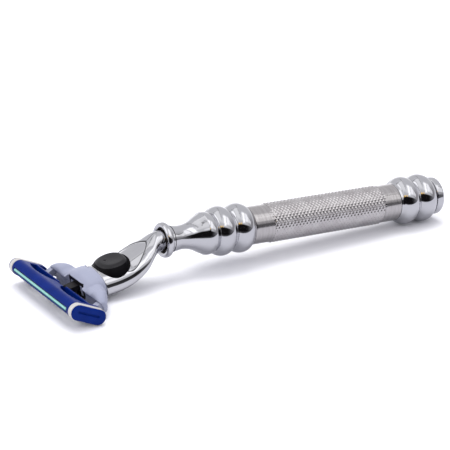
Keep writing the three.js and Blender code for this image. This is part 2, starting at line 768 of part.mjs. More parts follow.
const bladeIndexes = Array.from({ length: BLADE_COUNT }, (_, i) => i);
const cartridge = groupAt(
  cartridgeFrame,
  piece('housing', housing(), bluePlastic()),
  piece('lubricating_strip', lubricatingStrip(), mintStrip()),
  piece('guard_fins', guardFins(), guardRubber()),
  ...SIDES.map(([name, side]) => piece(`clip_${name}`, clip(side), clipMetal())),
  ...bladeIndexes.map((i) => piece(`blade_${i + 1}`, blade(i), bladeSteel())),
  ...bladeIndexes.map((i) => piece(`blade_support_${i + 1}`, bladeSupport(i), plainSteel())),
);

const razor = new THREE.Group();
razor.position.x = MID_LENGTH;
razor.add(handle, nose, cartridge);
razor.add(piece('head_adapter', headAdapter(noseFrame, handleFrame), chrome()));

export default razor;
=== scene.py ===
import json
import math

import bmesh
import bpy
import numpy as np
from mathutils import Matrix, Vector


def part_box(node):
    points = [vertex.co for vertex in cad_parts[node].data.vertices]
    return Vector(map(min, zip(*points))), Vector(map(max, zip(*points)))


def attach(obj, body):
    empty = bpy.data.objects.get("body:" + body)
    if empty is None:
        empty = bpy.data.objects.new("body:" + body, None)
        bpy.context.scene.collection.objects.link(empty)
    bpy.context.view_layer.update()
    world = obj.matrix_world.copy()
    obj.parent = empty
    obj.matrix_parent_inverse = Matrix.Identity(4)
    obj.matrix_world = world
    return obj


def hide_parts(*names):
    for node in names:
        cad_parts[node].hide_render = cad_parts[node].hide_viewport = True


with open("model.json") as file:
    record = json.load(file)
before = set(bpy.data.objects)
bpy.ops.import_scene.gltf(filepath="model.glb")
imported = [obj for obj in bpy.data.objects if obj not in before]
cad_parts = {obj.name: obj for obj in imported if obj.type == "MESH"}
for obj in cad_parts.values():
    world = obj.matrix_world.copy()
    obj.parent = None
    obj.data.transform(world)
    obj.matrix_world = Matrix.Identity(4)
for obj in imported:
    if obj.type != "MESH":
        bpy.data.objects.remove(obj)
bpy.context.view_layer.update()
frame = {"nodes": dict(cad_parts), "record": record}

RECORD = frame["record"]
MM = 0.001

# ---------------------------------------------------------------- places, from the frame


def pitch_of(axis):
    """Turn about Y (radians) that brings +X onto the axis."""
    return math.atan2(-axis[2], axis[0])


def frame_through(point_mm, local_point, pitch):
    """Frame in which the point of the razor's frame has the given local place."""
    turn = Matrix.Rotation(pitch, 4, "Y")
    return Matrix.Translation(Vector(point_mm) - turn @ Vector(local_point)) @ turn


def middle_mm(node):
    """Middle of a CAD node's box, in millimetres."""
    low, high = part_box(node)
    return [(a + b) / 2 / MM for a, b in zip(low, high)]


MOUNTS = {mount["name"]: mount for mount in RECORD["mounts"]}
JOINTS = {joint["name"]: joint for joint in RECORD["behaviour"]["joints"]}

CAP_END = 13.0                    # the pommel's flat end, along the handle
PIVOT_X, PIVOT_Z = 3.9, -0.3      # the pivot in the cartridge's frame
CARTRIDGE_PITCH = math.radians(25)
INSERT_X = (-6.6, 9.7)            # the docking nose, in the nose's frame
INSERT_Z = (-2.1, 2.7)
INSERT_HALF = 4.4

end_face = MOUNTS["pommel_end"]
HANDLE_PITCH = pitch_of(end_face["axis"])
HANDLE = frame_through([v / MM for v in end_face["pos_m"]], (CAP_END, 0, 0), HANDLE_PITCH)
NOSE_PITCH = pitch_of([-v for v in JOINTS["carrier_release"]["axis"]])
NOSE = frame_through(middle_mm("nose_insert"), (sum(INSERT_X) / 2, 0, sum(INSERT_Z) / 2), NOSE_PITCH)
pivot_mm = [v / MM for v in JOINTS["cartridge_pivot"]["pos_m"]]
CARTRIDGE = frame_through(pivot_mm, (PIVOT_X, 0, PIVOT_Z), CARTRIDGE_PITCH)
RAZOR = Matrix.Identity(4)
NOSE_ORIGIN = NOSE.translation
PIVOT_IN_NOSE = NOSE.inverted() @ Vector(pivot_mm)
AXIS_R = 1e-4                     # stands for the axis in a turned profile

# ---------------------------------------------------------------- mesh building


def piece(name, verts, faces, place, material, body, nodes=(), slot=None, crease=35):
    """Mesh object from local millimetres, smooth shaded but for edges sharper than crease."""
    verts = np.asarray(verts, float)
    turn = np.array(place.to_3x3())
    world = (verts @ turn.T + np.array(place.translation)) * MM
    mesh = bpy.data.meshes.new(name)
    mesh.from_pydata(world.tolist(), [], [list(map(int, f)) for f in faces])
    mesh.validate()
    made = bmesh.new()
    made.from_mesh(mesh)
    bmesh.ops.remove_doubles(made, verts=made.verts, dist=1e-7)
    bmesh.ops.recalc_face_normals(made, faces=made.faces)
    made.to_mesh(mesh)
    made.free()
    thing = bpy.data.objects.new(name, mesh)
    bpy.context.scene.collection.objects.link(thing)
    if material:
        mesh.materials.append(material)
    shade(thing, crease)
    if body:
        settle(thing, body, nodes)
    return thing


def shade(thing, crease):
    """Smooth shading, but for edges sharper than crease in degrees."""
    mesh = thing.data
    mesh.shade_smooth()
    mesh.set_sharp_from_angle(angle=math.radians(crease))


def settle(thing, body, nodes):
    """Puts a thing on its body, in place of the CAD nodes that it replaces."""
    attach(thing, body)
    if nodes:
        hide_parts(*nodes)


def ring_faces(rings, count, wrap_rings=False):
    """Quads between neighbouring rings of count points each."""
    faces = []
    last = rings if wrap_rings else rings - 1
    for i in range(last):
        a, b = i * count, ((i + 1) % rings) * count
        for j in range(count):
            k = (j + 1) % count
            faces.append((a + j, a + k, b + k, b + j))
    return faces


def lathe(profile, segments=144):
    """Ring of revolution about x from a closed profile of (x, radius) points."""
    turns = np.linspace(0, 2 * math.pi, segments, endpoint=False)
    profile = np.asarray(profile, float)
    x = np.repeat(profile[:, 0:1], segments, axis=1)
    y = profile[:, 1:2] * np.cos(turns)
    z = profile[:, 1:2] * np.sin(turns)
    verts = np.stack([x, y, z], axis=2).reshape(-1, 3)
    faces = ring_faces(len(profile), segments, wrap_rings=True)
    return verts, faces


def loft(rings):
    """Closed skin over a row of rings with the same number of points."""
    rings = [np.asarray(ring, float) for ring in rings]
    count = len(rings[0])
    verts = np.concatenate(rings)
    faces = ring_faces(len(rings), count)
    faces.append(tuple(range(count)))
    start = (len(rings) - 1) * count
    faces.append(tuple(range(start + count - 1, start - 1, -1)))
    return verts, faces


def prism(outline, y0, y1):
    """Outline of (x, z) points swept across the razor from y0 to y1."""
    return loft([[(x, y, z) for x, z in outline] for y in (y0, y1)])


def block(x0, x1, y0, y1, z0, z1):
    """Box between the given faces."""
    return prism([(x0, z0), (x1, z0), (x1, z1), (x0, z1)], y0, y1)


def column(outline, z0, z1):
    """Outline of (x, y) points swept upward."""
    return loft([[(x, y, z) for x, y in outline] for z in (z0, z1)])


def cross_pin(x, z, y0, y1, radius, count=40):
    """Round bar across the razor from y0 to y1."""
    return prism(circle(x, z, radius, count), y0, y1)


def circle(x, z, radius, count):
    turns = np.linspace(0, 2 * math.pi, count, endpoint=False)
    return [(x + radius * math.cos(t), z + radius * math.sin(t)) for t in turns]


def oval(a, b, power, count):
    """Points of an oval with half axes a and b: an ellipse at power 2, boxier above it."""
    turns = np.linspace(0, 2 * math.pi, count, endpoint=False)
    c, s = np.cos(turns), np.sin(turns)
    return np.stack([a * np.sign(c) * np.abs(c) ** (2 / power),
                     b * np.sign(s) * np.abs(s) ** (2 / power)], axis=1)


def pill(depth, thick, steps=18):
    """Outline with straight sides and half-round ends, as (x, z) points."""
    radius = thick / 2
    reach = depth / 2 - radius
    points = []
    for end in (1, -1):
        for t in np.linspace(-math.pi / 2, math.pi / 2, steps):
            points.append((end * (reach + radius * math.cos(t)), end * radius * math.sin(t)))
        points.append((0.0, end * radius))
    return points


def spline(points, steps):
    """Points along a Catmull-Rom curve through the given ones, evenly split between them."""
    p = np.asarray(points, float)
    p = np.vstack([2 * p[0] - p[1], p, 2 * p[-1] - p[-2]])
    result = []
    for t in np.linspace(0, len(points) - 1, steps + 1):
        i = min(int(t), len(points) - 2)
        u = t - i
        a, b, c, d = p[i], p[i + 1], p[i + 2], p[i + 3]
        result.append(b + 0.5 * u * (c - a + u * (2 * a - 5 * b + 4 * c - d
                                                  + u * (3 * (b - c) + d - a))))
    return np.array(result)


def together(*solids):
    """Several closed skins as one list of vertices and faces."""
    verts, faces, base = [], [], 0
    for points, quads in solids:
        points = np.asarray(points, float)
        verts.append(points)
        faces += [tuple(base + i for i in face) for face in quads]
        base += len(points)
    return np.concatenate(verts), faces


def mirrored(solid):
    verts, faces = solid
    return np.asarray(verts, float) * (1, -1, 1), [tuple(reversed(face)) for face in faces]


def both_sides(solid):
    return [solid, mirrored(solid)]


def bake(thing):
    """Turns the modifiers of a thing into its mesh."""
    old = thing.data
    graph = bpy.context.evaluated_depsgraph_get()
    thing.data = bpy.data.meshes.new_from_object(thing.evaluated_get(graph))
    thing.modifiers.clear()
    bpy.data.meshes.remove(old)


def combine(thing, solids, place, operation):
    """Joins closed skins to a thing, or takes them away, one after the other."""
    for solid in solids:
        tool = piece(thing.name + "_tool", *solid, place, None, None)
        change = thing.modifiers.new("change", "BOOLEAN")
        change.operation = operation
        change.solver = "EXACT"
        change.object = tool
        bake(thing)
        bpy.data.objects.remove(tool)


def moulded(name, adds, cuts, place, voxel, rounds, material, body, nodes):
    """Moulded piece: solids joined, others taken away, and every edge softly rounded."""
    thing = piece(name, *adds[0], place, None, None)
    combine(thing, adds[1:], place, "UNION")
    combine(thing, cuts, place, "DIFFERENCE")
    skin = thing.modifiers.new("skin", "REMESH")
    skin.mode = "VOXEL"
    skin.voxel_size = voxel * MM
    soft = thing.modifiers.new("round", "SMOOTH")
    soft.iterations = rounds
    soft.factor = 0.5
    bake(thing)
    thing.data.materials.clear()
    thing.data.materials.append(material)
    shade(thing, 60)
    settle(thing, body, nodes)


# ---------------------------------------------------------------- materials


class Graph:
    """Short-hand for the arithmetic nodes of a node tree."""

    def __init__(self, tree):
        self.nodes, self.links = tree.nodes, tree.links

    def value(self, operation, *inputs):
        node = self.nodes.new("ShaderNodeMath")
        node.operation = operation
        for socket, given in zip(node.inputs, inputs):
            if isinstance(given, (int, float)):
                socket.default_value = given
            else:
                self.links.new(given, socket)
        return node.outputs[0]

    def step(self, value, low, high):
        """0 below low, 1 above high, or the other way round if low is the larger."""
        node = self.nodes.new("ShaderNodeMapRange")
        node.interpolation_type = "SMOOTHSTEP"
        self.links.new(value, node.inputs["Value"])
        first, second = (low, high) if low < high else (high, low)
        node.inputs["From Min"].default_value = first
        node.inputs["From Max"].default_value = second
        node.inputs["To Min"].default_value = 0 if low < high else 1
        node.inputs["To Max"].default_value = 1 if low < high else 0
        return node.outputs["Result"]

    def window(self, value, low, high, soft):
        """1 between low and high, 0 outside, with soft edges."""
        return self.value("MULTIPLY", self.step(value, low - soft, low + soft),
                          self.step(value, high + soft, high - soft))

    def patch(self, turn, rise, turns, rises, soft):
        return self.value("MULTIPLY", self.window(turn, *turns, soft), self.window(rise, *rises, soft))

    def blend(self, share, under, over):
        """Colours or greys mixed by a share."""
        node = self.nodes.new("ShaderNodeMix")
        node.data_type = "RGBA"
        for socket, given in ((node.inputs[6], under), (node.inputs[7], over)):
            if isinstance(given, tuple):
                socket.default_value = (*given, 1)
            else:
                self.links.new(given, socket)
        self.links.new(share, node.inputs[0])
        return node.outputs[2]


def surface(name, base, tint, metallic, rough, grain, scale, bump, stretch=(1, 1, 1), pitch=0.0,
            sheen=0.0, specular=0.5):
    """Procedural finish: two tones and a span of roughness over noise, with a fine bump.

    grain and scale are the fine and the broad noise's detail per metre, and stretch packs it
    closer along an axis, which pitch (radians) turns about Y.
    """
    made = bpy.data.materials.new(name)
    made.use_nodes = True
    nodes, links = made.node_tree.nodes, made.node_tree.links
    shader = nodes["Principled BSDF"]
    shader.inputs["Metallic"].default_value = metallic
    shader.inputs["Sheen Weight"].default_value = sheen
    shader.inputs["Specular IOR Level"].default_value = specular
    place = nodes.new("ShaderNodeTexCoord")
    mapping = nodes.new("ShaderNodeMapping")
    mapping.inputs["Rotation"].default_value = (0, pitch, 0)
    mapping.inputs["Scale"].default_value = stretch
    links.new(place.outputs["Object"], mapping.inputs["Vector"])
    broad = nodes.new("ShaderNodeTexNoise")
    broad.inputs["Scale"].default_value = scale
    broad.inputs["Detail"].default_value = 4
    fine = nodes.new("ShaderNodeTexNoise")
    fine.inputs["Scale"].default_value = grain
    fine.inputs["Detail"].default_value = 6
    links.new(mapping.outputs["Vector"], broad.inputs["Vector"])
    links.new(mapping.outputs["Vector"], fine.inputs["Vector"])
    tones = nodes.new("ShaderNodeValToRGB")
    tones.color_ramp.elements[0].position = 0.3
    tones.color_ramp.elements[0].color = (*base, 1)
    tones.color_ramp.elements[1].position = 0.7
    tones.color_ramp.elements[1].color = (*tint, 1)
    links.new(broad.outputs["Fac"], tones.inputs["Fac"])
    links.new(tones.outputs["Color"], shader.inputs["Base Color"])
    span = nodes.new("ShaderNodeMapRange")
    span.inputs["From Min"].default_value = 0.3
    span.inputs["From Max"].default_value = 0.7
    span.inputs["To Min"].default_value = rough[0]
    span.inputs["To Max"].default_value = rough[1]
    links.new(fine.outputs["Fac"], span.inputs["Value"])
    links.new(span.outputs["Result"], shader.inputs["Roughness"])
    relief = nodes.new("ShaderNodeBump")
    relief.inputs["Strength"].default_value = bump
    relief.inputs["Distance"].default_value = 0.00002
    links.new(fine.outputs["Fac"], relief.inputs["Height"])
    links.new(relief.outputs["Normal"], shader.inputs["Normal"])
    return made


chrome = surface("chrome", (0.56, 0.56, 0.59), (0.60, 0.60, 0.62), 1, (0.03, 0.07), 2600, 60, 0.02)
# Chrome with a near-black base colour: painted shade for the inside of the collar's cavity.
cavity_shade_chrome = surface("cavity_shade_chrome", (0.10, 0.09, 0.085), (0.15, 0.14, 0.13), 1, (0.25, 0.4), 2600, 200,
                      0.05)
satin_steel = surface("satin_steel", (0.44, 0.42, 0.42), (0.54, 0.52, 0.52), 1, (0.12, 0.18), 900, 180,
                      0.05, stretch=(8, 1, 1), pitch=-HANDLE_PITCH)
knurl_steel = surface("knurl_steel", (0.50, 0.475, 0.475), (0.62, 0.60, 0.60), 1, (0.17, 0.26), 1500, 300,
                      0.05)
plain_steel = surface("plain_steel", (0.45, 0.45, 0.46), (0.58, 0.58, 0.6), 1, (0.3, 0.45), 1800, 240, 0.2,
                      stretch=(6, 1, 1))
blade_steel = surface("blade_steel", (0.6, 0.61, 0.63), (0.72, 0.73, 0.75), 1, (0.14, 0.24), 2400, 300, 0.1,
                      stretch=(1, 0.2, 1))
clip_metal = surface("clip_metal", (0.52, 0.50, 0.48), (0.60, 0.58, 0.56), 0.35, (0.34, 0.46), 1500, 240,
                     0.12)
brass = surface("brass", (0.55, 0.40, 0.16), (0.68, 0.52, 0.24), 1, (0.25, 0.4), 1500, 240, 0.15)
black_plastic = surface("black_plastic", (0.005, 0.004, 0.005), (0.010, 0.008, 0.009), 0, (0.42, 0.55), 2600,
                        400, 0.2, specular=0.25)
button_plastic = surface("button_plastic", (0.0012, 0.0011, 0.0016), (0.0026, 0.0022, 0.0032), 0,
                         (0.32, 0.44), 2400, 300, 0.25, specular=0.06)
# Lighter copy of the button's black plastic for its top: the lighter base colour is a painted sheen, and the
# higher specular level is the plastic's own gloss.
button_top_sheen = surface("button_top_sheen", (0.007, 0.0065, 0.008), (0.010, 0.009, 0.011), 0, (0.3, 0.4), 2400, 300,
                     0.3, specular=0.3)
nylon = surface("nylon", (0.012, 0.012, 0.013), (0.02, 0.02, 0.021), 0, (0.45, 0.6), 1500, 300, 0.2)
grey_plastic = surface("grey_plastic", (0.27, 0.285, 0.37), (0.30, 0.315, 0.40), 0, (0.36, 0.48), 1600, 160,
                       0.22, specular=0.4)
blue_plastic = surface("blue_plastic", (0.0002, 0.011, 0.115), (0.0004, 0.015, 0.15), 0, (0.3, 0.42), 1700,
                       220, 0.25, specular=0.08)
guard_rubber = surface("guard_rubber", (0.30, 0.37, 0.50), (0.36, 0.43, 0.56), 0, (0.6, 0.75), 1600, 260, 0.4,
                       sheen=0.2)
mint = surface("mint_strip", (0.21, 0.48, 0.43), (0.27, 0.54, 0.49), 0, (0.4, 0.55), 1500, 260, 0.3,
               sheen=0.1)
# Darker teal copy of the strip's mint for its curved-under lower part: painted shade on the side turned away
# from the light.
strip_underside_shade = surface("strip_underside_shade_edge", (0.045, 0.19, 0.165), (0.06, 0.23, 0.20), 0, (0.45, 0.6), 1500, 260, 0.3)

# ---------------------------------------------------------------- turned handle

BEAD_R, BEAD_ARC, BEAD_PITCH = 7.67, 4.0, 6.6
SMALL_BEAD_R = 6.6
GRIP_R, KNURL_R = 5.92, 6.24
BORE_R = 2.5
LIP_R = 5.72              # inside of the lips that close over the joint washers
LIP_LONG = 0.34


def bead(centre, crest, start, stop, steps=40):
    """Crest of a bead as profile points between two stations."""
    return [(x, crest - BEAD_ARC + math.sqrt(BEAD_ARC ** 2 - (x - centre) ** 2))
            for x in np.linspace(start, stop, steps)]


def corner(x0, r0, x1, r1, steps=8):
    """Quarter-round edge from a face at x0 to a wall of radius r1, or back."""
    turns = np.linspace(0, math.pi / 2, steps)
    if abs(r1) > abs(r0):
        return [(x0 + (x1 - x0) * (1 - math.cos(t)), r0 + (r1 - r0) * math.sin(t)) for t in turns]
    return [(x0 + (x1 - x0) * math.sin(t), r0 + (r1 - r0) * (1 - math.cos(t))) for t in turns]


def pommel():
    front, rear = -3.6, 9.9
    lip, lip_r = front - LIP_LONG, 5.85
    profile = [(front, BORE_R), (front, LIP_R), (lip, LIP_R), (lip, lip_r),
               *corner(lip, lip_r, -3.5, 5.95, 5)[1:],
               *bead(0, BEAD_R, -3.2, 3.22), *bead(BEAD_PITCH, BEAD_R, 3.38, 9.7),
               *corner(9.75, 5.9, rear, 5.6, 4), (rear, BORE_R)]
    piece("pommel_beads", *lathe(profile), HANDLE, chrome, "handle", ["pommel"], "chrome")


def pommel_cap():
    front, radius, edge = 10.2, 6.04, 0.75
    shank_end, shank_r, core_r, under_r = 6.2, 2.1, 0.9, 5.5
    face, recess = CAP_END - 0.02, CAP_END - 0.14
    profile = [(shank_end, core_r), (shank_end, shank_r), (front, shank_r), (front, under_r),
               *corner(front, under_r, front + 0.35, radius),
               *corner(CAP_END - edge, radius, face, radius - edge, 12),
               (face, 4.9), (recess, 4.75), (recess, core_r)]
    ring = lathe(profile)
    core = shank_end + 0.1
    plug = lathe([(core, AXIS_R), (core, core_r - 0.02), (recess, core_r - 0.02), (recess, AXIS_R)], 48)
    piece("pommel_end_cap", *together(ring, plug), HANDLE, chrome, "handle", ["pommel_cap"], "chrome")


def ferrule():
    front, rear = -85.8, -58.9
    rod_end, step, screw_r = rear - 9, -76.5, 1.2
    neck = spline([(front, 4.15), (-82.2, 3.7), (-79.2, 4.25), (-76.6, 5.55), (-75.0, 6.32)], 60)
    profile = [(front, 3.4), (front, 4.0), *[tuple(p) for p in neck],
               *bead(-73.9, SMALL_BEAD_R, -74.85, -71.75, 24), *bead(-68.75, BEAD_R, -71.62, -65.53),
               *bead(-62.15, BEAD_R, -65.37, -59.15), (rear + 0.28, 5.93), (rear + 0.3, LIP_R),
               (rear, LIP_R), (rear, BORE_R), (rod_end, BORE_R), (rod_end, screw_r), (step, screw_r),
               (step, 3.1)]
    piece("ferrule_beads", *lathe(profile), HANDLE, chrome, "handle", ["ferrule"], "chrome")


def neck_collar():
    middle, rear = -87.7, -86.7
    crown = [(middle - 0.22 + 1.1 * math.cos(t), 4.56 + 0.86 * math.sin(t))
             for t in np.linspace(0.35, 4.6, 44)]
    bore_r, washer_r = 1.9, 3.4
    lip = rear + 0.78
    profile = [(rear, bore_r), (rear, washer_r), (lip, washer_r), (lip, 3.98), (rear, 4.05),
               (rear - 0.1, 4.3), *crown, (middle + 0.15, 3.55), (middle + 0.15, bore_r)]
    collar = piece("collar_ring", *lathe(profile), HANDLE, chrome, "handle", ["neck_collar"], "chrome")
    # The faces inside the collar's cavity get the dark chrome: painted shade where the recess lies in shadow.
    collar.data.materials.append(cavity_shade_chrome)
    inverse = HANDLE.inverted()
    for face in collar.data.polygons:
        place = inverse @ (face.center / MM)
        inside = math.hypot(place.y, place.z) < 3.9 and place.x < middle + 0.2
        face.material_index = int(inside)


KNURL_PITCH = 1.28        # along the handle
KNURL_STARTS = 24         # grooves each way round
KNURL_DEEP = 0.17
KNURL_FLANK = 0.42        # run of a groove's flank, as a share of the pitch
KNURL_REAR, KNURL_FRONT = -10.5, -51.8


def knurl_depth(x, turn):
    """How far a point of the knurled band lies below the crests: 0 at a pyramid's tip, 1 in a groove."""
    along = x / KNURL_PITCH
    around = turn * KNURL_STARTS / (2 * math.pi)
    depth = np.ones_like(x)
    for phase in (along + around, along - around):
        off = np.abs(phase - np.round(phase))          # 0 in the groove, 0.5 between grooves
        depth = np.minimum(depth, np.clip(off / KNURL_FLANK, 0, 1))
    return 1 - depth


def grip_sleeve():
    front, rear = -58.52, -4.06
    edge, bore_r = 0.25, 3.5
    steps = int((KNURL_REAR - KNURL_FRONT) / 0.12)
    band = np.linspace(KNURL_FRONT, KNURL_REAR, steps)
    plain_front = np.linspace(front + edge, KNURL_FRONT - 0.02, 8)
    plain_rear = np.linspace(KNURL_REAR + 0.02, rear - edge, 8)
    ends_front = corner(front, GRIP_R - 0.1, front + edge, GRIP_R, 6)[:-1]
    ends_rear = corner(rear - edge, GRIP_R, rear, GRIP_R - 0.1, 6)[1:]
    stations = np.array([(front + 0.32, bore_r), (front + 0.32, LIP_R), (front, LIP_R), *ends_front,
                         *[(x, GRIP_R) for x in plain_front], *[(x, KNURL_R) for x in band],
                         *[(x, GRIP_R) for x in plain_rear], *ends_rear, (rear, LIP_R),
                         (rear - LIP_LONG, LIP_R), (rear - LIP_LONG, bore_r)])
    segments = 384
    turns = np.linspace(0, 2 * math.pi, segments, endpoint=False)
    x = np.repeat(stations[:, 0:1], segments, axis=1)
    radius = np.repeat(stations[:, 1:2], segments, axis=1)
    knurled = (stations[:, 0] >= KNURL_FRONT) & (stations[:, 0] <= KNURL_REAR)
    fade = np.clip(np.minimum(stations[:, 0] - KNURL_FRONT, KNURL_REAR - stations[:, 0]) / 0.4, 0, 1)
    relief = knurl_depth(x, np.broadcast_to(turns, x.shape))
    lowered = KNURL_R - KNURL_DEEP * relief - 0.2 * (1 - fade[:, None])
    radius = np.where(knurled[:, None], lowered, radius)
    verts = np.stack([x, radius * np.cos(turns), radius * np.sin(turns)], axis=2).reshape(-1, 3)
    faces = ring_faces(len(stations), segments, wrap_rings=True)
    sleeve = piece("knurled_sleeve", verts, faces, HANDLE, satin_steel, "handle", ["grip_sleeve"],
                   "satin_steel", crease=60)
    sleeve.data.materials.append(knurl_steel)
    inverse = HANDLE.inverted()
    for face in sleeve.data.polygons:
        along = (inverse @ (face.center / MM)).x
        face.material_index = int(KNURL_FRONT < along < KNURL_REAR)


# ---------------------------------------------------------------- head adapter

# Sections of the swan neck from the collar to the nose, in the razor's frame:
# (x from the origin of the nose's frame, height of the middle, half width, half height).
SWAN_NECK = [(22.5, 12.55, 3.2, 3.2), (20.8, 12.5, 3.2, 3.15), (19.0, 12.1, 3.7, 3.1),
             (16.7, 10.85, 5.4, 2.65), (14.2, 9.25, 6.75, 3.25), (11.2, 7.5, 7.35, 3.7),
             (8.1, 6.05, 7.4, 3.85), (4.5, 5.05, 7.3, 3.9), (0.2, 4.4, 7.1, 3.93)]
# Edge of the thumb dish: (distance down its slope from the rear tip, half width).
DISH_EDGE = [(-0.2, 0.15), (0.35, 1.15), (1.5, 2.6), (3.1, 3.95), (4.95, 5.1), (6.5, 5.85), (8.0, 6.25),
             (9.7, 6.3), (12.0, 5.4)]
DISH_SLOPE = math.radians(27.5)
DISH_WALL = (0.32, 0.3)       # run and drop of the step round the dish
DISH_BOWL = 0.13              # further fall for each millimetre from the rim
DISH_TOP = 12.95              # height of the dish's rear tip
NECK_BULGE = 0.3              # how much boxier than an ellipse the neck's sections are


def with_painted_shade(material, attribute, tone):
    """Copy of a finish with painted shade: its colour turns to a dark tone where the attribute is 1."""
    made = material.copy()
    made.name = "painted_shade_" + material.name
    graph = Graph(made.node_tree)
    shader = graph.nodes["Principled BSDF"]
    source = shader.inputs["Base Color"].links[0].from_socket
    mark = graph.nodes.new("ShaderNodeAttribute")
    mark.attribute_name = attribute
    graph.links.new(graph.blend(mark.outputs["Fac"], source, tone), shader.inputs["Base Color"])
    return made


def neck_sections(steps):
    """Rows of (x, height of the widest level, half width, rise above it, drop below it)."""
    rows = []
    for x, z, a, b in spline(SWAN_NECK, steps):
        sink = 0.3 * b * np.clip((20 - x) / 6, 0, 1)
        rows.append((x, z - sink, a, b + sink, b - sink))
    return np.array(rows)


def adapter_top(x, y):
    """Height of the adapter's upper surface over a point, before the thumb dish."""
    table = neck_sections(60)[::-1]
    along = x - NOSE_ORIGIN.x
    middle = np.interp(along, table[:, 0], table[:, 1])
    half = np.interp(along, table[:, 0], table[:, 2])
    height = np.interp(along, table[:, 0], table[:, 3])
    power = 2 + NECK_BULGE
    inside = np.clip(1 - np.abs(y / half) ** power, 0, 1)
    return middle + height * inside ** (1 / power)


def dished(points):
    """Sinks the leaf-shaped thumb dish into points of the adapter's back.

    Also says how near each point is to the dish's rim: 1 on it, 0 away from it.
    """
    origin = np.array([NOSE_ORIGIN.x + 16.6, 0, DISH_TOP])
    down = np.array([-math.cos(DISH_SLOPE), 0, -math.sin(DISH_SLOPE)])
    up = np.array([-math.sin(DISH_SLOPE), 0, math.cos(DISH_SLOPE)])
    edge = spline(DISH_EDGE, 120)
    offset = points - origin
    along, across, height = offset @ down, np.abs(points[:, 1]), offset @ up
    near = (height > -3.5) & (along > -2) & (along < 13)
    away = np.full(len(points), 9.0)
    spots = np.stack([along[near], across[near]], axis=1)
    away[near] = np.sqrt(((spots[:, None, :] - edge[None, :, :]) ** 2).sum(axis=2).min(axis=1))
    half = np.interp(along, edge[:, 0], edge[:, 1], left=-1, right=-1)
    inside = near & (across < half)
    wall = np.clip(away / DISH_WALL[0], 0, 1)
    sunk = DISH_WALL[1] * wall ** 2 * (3 - 2 * wall) + DISH_BOWL * away * (1 - away / 14)
    rim = np.where(near, np.clip(1.5 - away / 0.17, 0, 1), 0)
    return points - np.outer(np.where(inside, sunk, 0), up), rim


def head_adapter():
    # Chrome with painted shade: a near-black line along the thumb dish's rim and the tail's middle ridge
    # stands in for the shade and dark reflections in these creases.
    painted_shade_chrome = with_painted_shade(chrome, "crease", (0.004, 0.004, 0.005))
    rings, count = 260, 384
    sections = neck_sections(rings)
    points = []
    for i, (x, z, a, rise, drop) in enumerate(sections):
        power = 2 + NECK_BULGE * min(1, i / (rings / 2))
        lean = math.tan(-NOSE_PITCH) * np.clip((9 - x) / 9, 0, 1)
        flat = oval(a, 1, power, count)
        flat[:, 1] *= np.where(flat[:, 1] > 0, rise, drop)
        points.append(np.stack([NOSE_ORIGIN.x + x - lean * flat[:, 1], flat[:, 0], z + flat[:, 1]], axis=1))
    end = points[-1]
    centre = end.mean(axis=0)
    forward = np.array([math.cos(NOSE_PITCH), 0, -math.sin(NOSE_PITCH)])
    rounding, half_width = 0.35, 7
    for t in np.linspace(0.2, math.pi / 2, 6):
        shrunk = centre + (end - centre) * (1 - rounding / half_width * (1 - math.cos(t)))
        points.append(shrunk - forward * rounding * math.sin(t))
    points = np.array(points)
    shape = points.shape
    points, rim = dished(points.reshape(-1, 3))
    ridge = np.clip(1 - np.abs(points[:, 1]) / 0.22, 0, 1)
    tail = (points[:, 0] > NOSE_ORIGIN.x + 16.4) & (points[:, 2] > 12.5)
    adapter = piece("adapter_body", *loft(points.reshape(shape)), RAZOR, painted_shade_chrome, None, crease=40)
    # The crease attribute marks where the painted shade goes: the dish's rim and the middle ridge of the
    # adapter's tail.
    mark = adapter.data.attributes.new("crease", "FLOAT", "POINT")
    mark.data.foreach_set("value", np.maximum(rim, 0.6 * ridge * tail))
    gap = 0.2
    pocket = block(-3, 10, -INSERT_HALF - gap, INSERT_HALF + gap, INSERT_Z[0] - gap, INSERT_Z[1] + gap)
    well = block(1.6, 7.6, -2.2, 2.2, 0, 9)
    combine(adapter, [pocket, well], NOSE, "DIFFERENCE")
    bore_front, bore_rear, bore_r = -91.2, -84.8, 1.9
    bore = lathe([(bore_front, AXIS_R), (bore_front, bore_r), (bore_rear, bore_r), (bore_rear, AXIS_R)], 40)
    combine(adapter, [bore], HANDLE, "DIFFERENCE")
    shade(adapter, 40)
    settle(adapter, "handle", ["head_adapter"])


# ---------------------------------------------------------------- release button

# Upright ovals of the button: (height, x of the middle, half length, half width), in the nose's frame.
BUTTON = [(0.5, 5.0, 5.1, 6.5), (2.0, 5.05, 5.15, 6.35), (3.0, 5.15, 5.0, 5.9), (3.9, 5.4, 4.65, 5.3),
          (4.5, 5.6, 4.2, 4.7), (4.8, 5.75, 3.85, 4.2), (4.92, 5.85, 3.5, 3.8)]
BUTTON_POWER = 2.35
BUTTON_DIMPLE = (4.0, 0.6, 0.32)          # x, y and radius
DIMPLE_DEEP = 0.4
FLAT_TOP = 4.3                            # height above which the top has a lighter copy of the plastic, a painted sheen
SEAT_GAP = 0.2                            # between the button and the thumb dish


